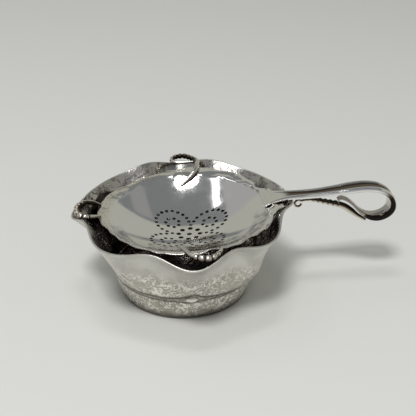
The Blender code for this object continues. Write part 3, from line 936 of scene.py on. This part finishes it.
def add_strap(material):
    stations = smooth_stations(STRAP_STATIONS, STRAP_STEPS)
    centres = [Vector((station[0], 0, station[1])) for station in stations]
    rings = [[centres[0]]]
    tarnish_and_shade = [0.0]
    for index, station in enumerate(stations):
        ahead = centres[min(index + 1, len(centres) - 1)]
        behind = centres[max(index - 1, 0)]
        ring, dark = strap_ring(station, (ahead - behind).normalized())
        rings.append(ring)
        share = index / len(stations)
        tail = TAIL_TARNISH * smoothstep(TAIL_SHARE - 0.05, TAIL_SHARE + 0.05, share)
        tarnish_and_shade += [max(value, tail) for value in dark]
    rings.append([centres[-1]])
    tarnish_and_shade.append(0.0)
    points, faces = skin(rings)
    faces = [list(reversed(face)) for face in faces]
    piece = make_piece(
        "grooved_handle",
        points,
        faces,
        material,
        "strainer",
        ("handle_strap",),
        tarnish_and_shade,
    )
    root = [0.4 * (1 - smoothstep(*HAMMERED_ROOT, point[0])) for point in points]
    add_layer(piece, "hammered", root)


# --------------------------------------------------------------- wire and beads


def tube_rings(stations, across):
    centres = [Vector(station[:3]) for station in stations]
    rings = [[centres[0]]]
    for index, centre in enumerate(centres):
        ahead = centres[min(index + 1, len(centres) - 1)]
        behind = centres[max(index - 1, 0)]
        direction = (ahead - behind).normalized()
        side = (across - across.project(direction)).normalized()
        up = direction.cross(side)
        radius = stations[index][3]
        ring = []
        for angle in circle_angles(WIRE_SIDES):
            ring.append(centre + radius * (math.cos(angle) * side + math.sin(angle) * up))
        rings.append(ring)
    rings.append([centres[-1]])
    return rings


def add_wire(name, stations, across, material, node, darkness, shade):
    """A tube along stations, each with its darkness; shade paints shade on one side of the wire."""
    rings = tube_rings(stations, across)
    points, faces = skin(rings)
    tarnish_and_shade = [darkness[0]]
    for station, value, ring in zip(stations, darkness, rings[1:]):
        centre = Vector(station[:3])
        for point in ring:
            tarnish_and_shade.append(max(value, shade(centre, (point - centre).normalized())))
    tarnish_and_shade.append(darkness[-1])
    make_piece(name, points, faces, material, "strainer", (node,), tarnish_and_shade)


def at_shares(stations, shares):
    path = smooth_stations(stations, PATH_STEPS)
    lengths = [0.0]
    for start, end in zip(path, path[1:]):
        lengths.append(lengths[-1] + (Vector(end[:3]) - Vector(start[:3])).length)
    result = []
    span = 1
    for share in shares:
        target = share * lengths[-1]
        while span < len(path) - 1 and lengths[span] < target:
            span += 1
        part = (target - lengths[span - 1]) / (lengths[span] - lengths[span - 1])
        result.append(path[span - 1].lerp(path[span], part))
    return result


def bead_stations(stations, beads, bead_share):
    """Stations and darkness of a wire drawn into beads along its first share."""
    rings = beads * RINGS_PER_BEAD
    shares = [bead_share * ring / rings for ring in range(rings + 1)]
    if bead_share < 1:
        for ring in range(1, PLAIN_RINGS + 1):
            shares.append(bead_share + (1 - bead_share) * ring / PLAIN_RINGS)
    result = at_shares(stations, shares)
    darkness = []
    for ring in range(rings + 1):
        place = 2 * (ring % RINGS_PER_BEAD) / RINGS_PER_BEAD - 1
        swell = math.sqrt(max(1 - place * place, 0.0))
        result[ring][3] *= BEAD_NECK + (1 - BEAD_NECK) * swell
        darkness.append(1 - smoothstep(0.3, 0.9, swell))
    darkness += [0.05] * (len(shares) - rings - 1)
    return result, darkness


# Painted shade and dark reflection on the upper side of a wire under the strap
def painted_shade_above(_, outward):
    return 0.95 * smoothstep(-0.15, 0.15, outward.z)


def painted_loop_shade(middle):
    """Painted shade for a loop of wire: black on its inner and lower sides, with a dark reflected line
    round its outer side.
    """

    def shade(centre, outward):
        inward = Vector((middle[0] - centre.x, middle[1] - centre.y, 0)).normalized()
        facing = outward.dot(inward)
        # a painted dark reflected line round the outer side
        line = bell(outward.z - 0.1, 0.16) * smoothstep(0.2, 0.6, -facing)
        return 0.95 * max(smoothstep(0.1, 0.6, facing), line, 0.8 * smoothstep(0.1, 0.6, -outward.z))

    return shade


def add_tendril(material):
    across = Vector((0, 1, 0))
    stem = smooth_stations(TENDRIL_STEM, STEM_STEPS)
    plain = [0.1] * len(stem)
    add_wire("tendril_bud", stem, across, material, "tendril_stem", plain, painted_shade_above)
    beads, dark = bead_stations(TENDRIL_BEAD_WIRE, TENDRIL_BEADS, 1)
    node = "tendril_bead_wire"
    add_wire("tendril_beads", beads, across, material, node, dark, painted_shade_above)
    curl = []
    for step in range(CURL_STEPS + 1):
        share = step / CURL_STEPS
        angle = CURL_START + CURL_SWEEP * share
        radius = CURL_RADIUS * (1 - CURL_TIGHTENING * share)
        x = CURL_CENTRE[0] + radius * math.cos(angle)
        z = CURL_CENTRE[1] + radius * math.sin(angle)
        curl.append(Vector((x, 0, z, CURL_WIRE)))
    plain = [0.2] * len(curl)
    shade = painted_shade_above
    add_wire("tendril_curl_wire", curl, across, material, "tendril_curl", plain, shade)


def add_rim_loops(material):
    across = Vector((0, 0, 1))
    for side, loop in LOOPS.items():
        shade = painted_loop_shade(loop["middle"])
        stem = smooth_stations(loop["stem"], STEM_STEPS)
        plain = [0.1] * len(stem)
        node = f"{side}_loop_stem"
        add_wire(f"{side}_loop_tail", stem, across, material, node, plain, shade)
        beads, dark = bead_stations(loop["bead_wire"], loop["beads"], loop["bead_share"])
        node = f"{side}_loop_bead_wire"
        add_wire(f"{side}_loop_beads", beads, across, material, node, dark, shade)


# ------------------------------------------------------------------- materials


def add_node(tree, kind, **values):
    made = tree.nodes.new(kind)
    for name, value in values.items():
        setattr(made, name, value)
    return made


def wire_up(tree, pairs):
    for source, target in pairs:
        tree.links.new(source, target)


def scaled_position(tree):
    """The surface's own position, in millimetres."""
    coordinates = add_node(tree, "ShaderNodeTexCoord")
    scale = add_node(tree, "ShaderNodeVectorMath", operation="SCALE")
    scale.inputs["Scale"].default_value = 1 / MM
    tree.links.new(coordinates.outputs["Object"], scale.inputs[0])
    return scale.outputs[0]


def noise_texture(tree, position, scale, detail=3.0, distortion=0.0):
    texture = add_node(tree, "ShaderNodeTexNoise")
    texture.inputs["Scale"].default_value = scale
    texture.inputs["Detail"].default_value = detail
    texture.inputs["Distortion"].default_value = distortion
    tree.links.new(position, texture.inputs["Vector"])
    return texture.outputs["Fac"]


def ranged(tree, value, from_low, from_high, to_low, to_high):
    remap = add_node(tree, "ShaderNodeMapRange")
    for name, number in (
        ("From Min", from_low),
        ("From Max", from_high),
        ("To Min", to_low),
        ("To Max", to_high),
    ):
        remap.inputs[name].default_value = number
    tree.links.new(value, remap.inputs["Value"])
    return remap.outputs["Result"]


def combined(tree, operation, first, second):
    math_node = add_node(tree, "ShaderNodeMath", operation=operation)
    for socket, value in zip(math_node.inputs, (first, second)):
        if isinstance(value, float):
            socket.default_value = value
        else:
            tree.links.new(value, socket)
    return math_node.outputs[0]


def mixed_colour(tree, factor, first, second):
    mix = add_node(tree, "ShaderNodeMix", data_type="RGBA")
    tree.links.new(factor, mix.inputs["Factor"])
    for name, value in (("A", first), ("B", second)):
        socket = next(s for s in mix.inputs if s.name == name and s.type == "RGBA")
        if isinstance(value, tuple):
            socket.default_value = (*value, 1.0)
        else:
            tree.links.new(value, socket)
    return next(s for s in mix.outputs if s.type == "RGBA")


def bump(tree, height, strength, distance, normal=None):
    made = add_node(tree, "ShaderNodeBump")
    made.inputs["Strength"].default_value = strength
    made.inputs["Distance"].default_value = distance * MM
    tree.links.new(height, made.inputs["Height"])
    if normal is not None:
        tree.links.new(normal, made.inputs["Normal"])
    return made.outputs["Normal"]


def voronoi(tree, position, scale, feature="F1", smoothness=None):
    texture = add_node(tree, "ShaderNodeTexVoronoi", feature=feature)
    texture.inputs["Scale"].default_value = scale
    if smoothness is not None:
        texture.inputs["Smoothness"].default_value = smoothness
    tree.links.new(position, texture.inputs["Vector"])
    return texture.outputs["Distance"]


def attribute(tree, name):
    made = add_node(tree, "ShaderNodeAttribute", attribute_name=name)
    return made.outputs["Fac"]


# Patina colours, also used for painted shade and dark reflections
PATINA_AND_SHADE_BROWN = (0.17, 0.125, 0.085)
PATINA_AND_SHADE_BLACK = (0.018, 0.015, 0.013)


def new_silver(name):
    material = bpy.data.materials.new(name)
    material.use_nodes = True
    tree = material.node_tree
    shader = tree.nodes["Principled BSDF"]
    shader.inputs["Metallic"].default_value = 1.0
    return material, tree, shader


def finish_shader(tree, shader, colour, roughness, normal):
    links = ((colour, "Base Color"), (roughness, "Roughness"), (normal, "Normal"))
    wire_up(tree, [(source, shader.inputs[name]) for source, name in links])


def satin_silver():
    """Outside of the bowl: satin, with short curling bumped strokes up to the belly, painted bright as
    highlights, and painted shade in the ridge's creases and at the foot.
    """
    material, tree, shader = new_silver("planished_silver")
    position = scaled_position(tree)
    tarnish_and_shade = attribute(tree, "tarnish_and_shade")
    field = noise_texture(tree, position, 0.22, 1.0, 2.6)
    away = combined(tree, "ABSOLUTE", combined(tree, "SUBTRACT", field, 0.5), 0.0)
    painted_glint_strokes = ranged(tree, away, 0.055, 0.09, 1.0, 0.0)
    breaks = ranged(tree, noise_texture(tree, position, 0.6, 2.0), 0.36, 0.47, 0.0, 1.0)
    patches = ranged(tree, noise_texture(tree, position, 0.09, 2.0), 0.32, 0.45, 0.1, 1.0)
    split = add_node(tree, "ShaderNodeSeparateXYZ")
    tree.links.new(position, split.inputs[0])
    below_flare = ranged(tree, split.outputs["Z"], 22.0, 28.0, 1.0, 0.05)
    marks = combined(tree, "MULTIPLY", painted_glint_strokes, breaks)
    marks = combined(tree, "MULTIPLY", marks, patches)
    marks = combined(tree, "MULTIPLY", marks, below_flare)
    grain = noise_texture(tree, position, 1.1, 4.0, 0.6)
    cloud = ranged(tree, noise_texture(tree, position, 0.12, 3.0), 0.35, 0.65, 0.0, 1.0)
    upper = mixed_colour(tree, cloud, (0.56, 0.55, 0.51), (0.72, 0.71, 0.67))
    lower = mixed_colour(tree, cloud, (0.44, 0.42, 0.37), (0.58, 0.55, 0.49))
    plain = mixed_colour(tree, below_flare, upper, lower)
    # painted highlights on the strokes
    light = mixed_colour(tree, marks, plain, (1.0, 0.98, 0.91))
    # painted shade from the tarnish layer
    colour = mixed_colour(tree, tarnish_and_shade, light, (0.08, 0.065, 0.045))
    roughness = ranged(tree, grain, 0.3, 0.7, 0.3, 0.44)
    normal = bump(tree, marks, 0.9, 0.4)
    normal = bump(tree, grain, 0.5, 0.2, normal)
    finish_shader(tree, shader, colour, roughness, normal)
    return material


def oxidised_silver():
    """Inside of the bowl: hammered, darker with depth from oxide and painted shade, brown-black in
    blotches, painted black as shadow behind the dish.
    """
    material, tree, shader = new_silver("oxidised_silver")
    position = scaled_position(tree)
    mottle = noise_texture(tree, position, 0.3, 5.0, 1.2)
    blotch = ranged(tree, mottle, 0.4, 0.56, 0.0, 1.0)
    tarnish_and_shade = attribute(tree, "tarnish_and_shade")
    depth = combined(tree, "ADD", tarnish_and_shade, ranged(tree, mottle, 0.35, 0.65, 0.45, -0.35))
    brown = mixed_colour(tree, blotch, (0.08, 0.055, 0.04), (0.68, 0.63, 0.61))
    colour = mixed_colour(tree, depth, (0.5, 0.49, 0.465), brown)
    # painted black shadow: behind the dish, and in part inside the cup
    black = ranged(tree, tarnish_and_shade, 1.05, 1.55, 0.0, 1.0)
    colour = mixed_colour(tree, black, colour, PATINA_AND_SHADE_BLACK)
    streaks = noise_texture(tree, position, 0.5, 2.0, 1.0)
    roughness = ranged(tree, mottle, 0.3, 0.7, 0.36, 0.16)
    normal = bump(tree, streaks, 0.35, 0.5)
    finish_shader(tree, shader, colour, roughness, normal)
    return material


def polished_silver(name, tint=(0.9, 0.89, 0.87), base_roughness=0.08):
    """Bright silver: brown to black with patina and painted shade, creamy and rougher where hammered,
    grey in painted reflection streaks.
    """
    material, tree, shader = new_silver(name)
    position = scaled_position(tree)
    tarnish_and_shade = attribute(tree, "tarnish_and_shade")
    hammered = attribute(tree, "hammered")
    smear = noise_texture(tree, position, 0.25, 4.0, 0.4)
    speckle = noise_texture(tree, position, 1.3, 4.0, 0.5)
    flakes = ranged(tree, speckle, 0.35, 0.65, 0.0, 1.0)
    cream = mixed_colour(tree, flakes, (0.68, 0.65, 0.58), (0.92, 0.89, 0.82))
    clean = mixed_colour(tree, hammered, tint, cream)
    # painted grey reflection streaks on the front of the flange
    streaked = noise_texture(tree, position, 0.16, 3.0, 1.6)
    grey = ranged(tree, streaked, 0.4, 0.52, 0.25, 1.0)
    grey = combined(tree, "MULTIPLY", grey, attribute(tree, "painted_grey_reflection"))
    clean = mixed_colour(tree, grey, clean, (0.38, 0.38, 0.39))
    # brown, then black, with patina and painted shade
    browned = mixed_colour(tree, ranged(tree, tarnish_and_shade, 0.0, 0.6, 0.0, 1.0), clean, PATINA_AND_SHADE_BROWN)
    blackened = ranged(tree, tarnish_and_shade, 0.6, 1.0, 0.0, 1.0)
    colour = mixed_colour(tree, blackened, browned, PATINA_AND_SHADE_BLACK)
    bright = ranged(tree, smear, 0.3, 0.7, base_roughness, base_roughness + 0.08)
    matt = ranged(tree, speckle, 0.3, 0.7, 0.14, 0.3)
    mix = add_node(tree, "ShaderNodeMix", data_type="FLOAT")
    floats = [socket for socket in mix.inputs if socket.type == "VALUE"]
    wire_up(tree, [(hammered, floats[0]), (bright, floats[1]), (matt, floats[2])])
    roughness = next(socket for socket in mix.outputs if socket.type == "VALUE")
    depth = combined(tree, "MULTIPLY", speckle, hammered)
    normal = bump(tree, depth, 0.4, 0.2)
    finish_shader(tree, shader, colour, roughness, normal)
    return material


# ----------------------------------------------------------- floor and lights


def stage_polygon(name, corners, material):
    mesh = bpy.data.meshes.new(name)
    mesh.from_pydata(corners, [], [list(range(len(corners)))])
    mesh.materials.append(material)
    card = bpy.data.objects.new(name, mesh)
    bpy.context.scene.collection.objects.link(card)
    return card


def stage_plane(name, size, centre, material):
    """A level rectangle."""
    x, y = size[0] / 2, size[1] / 2
    corners = [(-x, -y, 0), (x, -y, 0), (x, y, 0), (-x, y, 0)]
    card = stage_polygon(name, corners, material)
    card.location = centre


def floor_material():
    material = bpy.data.materials.new("studio_floor")
    material.use_nodes = True
    shader = material.node_tree.nodes["Principled BSDF"]
    shader.inputs["Base Color"].default_value = (0.78, 0.78, 0.75, 1)
    shader.inputs["Roughness"].default_value = 0.85
    shader.inputs["Specular IOR Level"].default_value = 0.2
    return material


def glow(name, colour, strength):
    material = bpy.data.materials.new(name)
    material.use_nodes = True
    tree = material.node_tree
    tree.nodes.clear()
    emission = add_node(tree, "ShaderNodeEmission")
    emission.inputs["Color"].default_value = (*colour, 1)
    emission.inputs["Strength"].default_value = strength
    output = add_node(tree, "ShaderNodeOutputMaterial")
    tree.links.new(emission.outputs[0], output.inputs["Surface"])
    return material


def add_area_light(name, location, size, energy):
    """A rectangular softbox that faces straight down."""
    light = bpy.data.lights.new(name, "AREA")
    light.shape = "RECTANGLE"
    light.size, light.size_y = size
    light.energy = energy
    lamp = bpy.data.objects.new(name, light)
    bpy.context.scene.collection.objects.link(lamp)
    lamp.location = location


def build_stage():
    stage_plane("studio_floor", (6, 6), (0, 0, 0), floor_material())
    add_area_light("key", (-0.315, -0.8, 1.455), (0.34, 0.3), KEY_POWER)
    add_area_light("top_softbox", (-0.075, -0.02, 1.0), (0.27, 0.13), TOP_POWER)
    add_area_light("side_softbox", (-0.4, 0.33, 1.0), (0.075, 0.62), SIDE_POWER)
    ceiling = glow("ceiling_grey", (0.93, 0.98, 1.0), 0.2)
    stage_plane("ceiling_card", (3.4, 2.8), (0.0, 0.98, 1.55), ceiling)
    grey = glow("right_grey", (1.0, 1.0, 1.0), 0.27)
    stage_plane("right_card", (0.26, 0.8), (0.62, 0.5, 1.02), grey)
    pale = glow("left_pale", (1.0, 1.0, 1.0), 0.36)
    stage_plane("left_card", (0.7, 1.4), (-0.86, 0.8, 1.02), pale)
    back = glow("backdrop_pale", (1.0, 1.01, 0.9), 0.4)
    for side, height in SIDE_WALLS.items():
        corners = [(side, -1.6, 0), (side, 1.6, 0), (side, 1.6, height), (side, -1.6, height)]
        stage_polygon(f"wall_{'right' if side > 0 else 'left'}", corners, back)
    stage_polygon("backdrop", BACKDROP, back)
    world = bpy.data.worlds.new("studio")
    world.use_nodes = True
    background = world.node_tree.nodes["Background"]
    background.inputs["Color"].default_value = (0.97, 0.98, 1.0, 1)
    background.inputs["Strength"].default_value = 0.4
    scene = bpy.context.scene
    scene.world = world
    scene.view_settings.view_transform = "Standard"


def build_camera():
    camera_data = bpy.data.cameras.new("camera")
    camera_data.sensor_width = 36
    camera_data.lens = CAMERA_LENS
    camera_data.shift_x, camera_data.shift_y = CAMERA_SHIFT
    camera = bpy.data.objects.new("camera", camera_data)
    bpy.context.scene.collection.objects.link(camera)
    flat = math.cos(CAMERA_ELEVATION)
    back = Vector(
        (
            math.sin(CAMERA_AZIMUTH) * flat,
            -math.cos(CAMERA_AZIMUTH) * flat,
            math.sin(CAMERA_ELEVATION),
        )
    )
    camera.location = CAMERA_TARGET + back * CAMERA_DISTANCE
    camera.rotation_euler = back.to_track_quat("Z", "Y").to_euler()
    bpy.context.scene.camera = camera


# --------------------------------------------------------------------- build

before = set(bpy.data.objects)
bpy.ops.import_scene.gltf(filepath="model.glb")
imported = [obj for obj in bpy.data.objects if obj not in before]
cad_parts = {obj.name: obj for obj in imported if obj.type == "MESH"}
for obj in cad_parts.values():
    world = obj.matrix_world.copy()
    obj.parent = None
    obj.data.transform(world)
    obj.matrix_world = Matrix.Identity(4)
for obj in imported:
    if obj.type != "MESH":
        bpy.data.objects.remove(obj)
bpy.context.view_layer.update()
build_camera()
build_stage()
planished = satin_silver()
oxidised = oxidised_silver()
bright = polished_silver("bright_silver", base_roughness=0.06)
grooved = polished_silver("grooved_silver")
looped = polished_silver("loop_silver", (0.82, 0.8, 0.74), 0.2)
darkened = polished_silver("darkened_silver", (0.86, 0.81, 0.7), 0.14)
beige = polished_silver("drop_silver", (0.95, 0.92, 0.83), 0.4)
add_bowl_wall(planished, oxidised)
add_cup(planished, oxidised)
add_drops(beige)
add_dish(bright, oxidised)
add_strap(grooved)
add_tendril(darkened)
add_rim_loops(looped)


def plain(box):
    return [[float(value) for value in corner] for corner in box]
